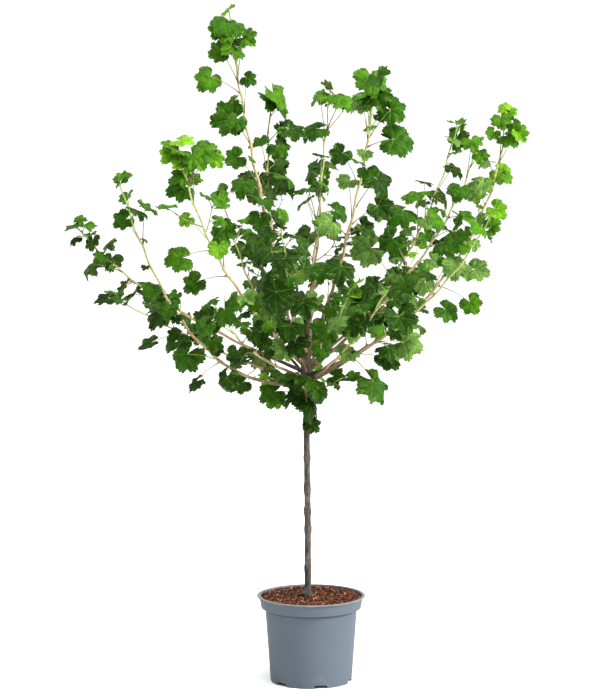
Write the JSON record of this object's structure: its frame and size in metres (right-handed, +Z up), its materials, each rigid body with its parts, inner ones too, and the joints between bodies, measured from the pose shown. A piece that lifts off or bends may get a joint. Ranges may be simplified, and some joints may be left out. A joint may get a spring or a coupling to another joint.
{
  "type": "potted jostaberry bush",
  "caption": "Leafy jostaberry bush on a bare straight stem, with arching shoots, growing in a round stepped nursery pot filled with bark-topped soil.",
  "frame": {"origin": "middle of the pot's flat underside, on the surface that it stands on", "axes": "+Z up along the stem, -Y towards the side that the picture shows, +X to that view's right"},
  "size_m": [0.9082, 0.7794, 1.3895],
  "materials": {
    "pot": "satin moulded polypropylene, blue-grey",
    "soil": "loose reddish-brown bark chips on peat",
    "bark": "matt grey-brown bark, finely cracked",
    "bough_bark": "smooth young bark, orange-brown to green towards the tips",
    "leaf": "satin mid-green leaf with pale veins, paler beneath"
  },
  "bodies": {
    "root": {"bough_back_left_low": "bough_bark", "bough_back_left_tall": "bough_bark", "bough_back_middle": "bough_bark", "bough_back_right_low": "bough_bark", "bough_back_tall": "bough_bark", "bough_front_left_low": "bough_bark", "bough_front_middle": "bough_bark", "bough_front_right_low": "bough_bark", "bough_front_right_tall": "bough_bark", "bough_front_short": "bough_bark", "bough_leader": "bough_bark", "bough_left_far": "bough_bark", "bough_left_front": "bough_bark", "bough_left_low": "bough_bark", "bough_left_middle": "bough_bark", "bough_right_back": "bough_bark", "bough_right_far": "bough_bark", "bough_right_front": "bough_bark", "bough_right_middle": "bough_bark", "leaves_back_left_low": "leaf", "leaves_back_left_tall": "leaf", "leaves_back_middle": "leaf", "leaves_back_right_low": "leaf", "leaves_back_tall": "leaf", "leaves_front_left_low": "leaf", "leaves_front_middle": "leaf", "leaves_front_right_low": "leaf", "leaves_front_right_tall": "leaf", "leaves_front_short": "leaf", "leaves_leader": "leaf", "leaves_left_far": "leaf", "leaves_left_front": "leaf", "leaves_left_low": "leaf", "leaves_left_middle": "leaf", "leaves_right_back": "leaf", "leaves_right_far": "leaf", "leaves_right_front": "leaf", "leaves_right_middle": "leaf", "pot": "pot", "soil": "soil", "spur_back": "leaf", "spur_front": "leaf", "spur_left": "leaf", "spur_right": "leaf", "stem": "bark"}
  },
  "joints": []
}
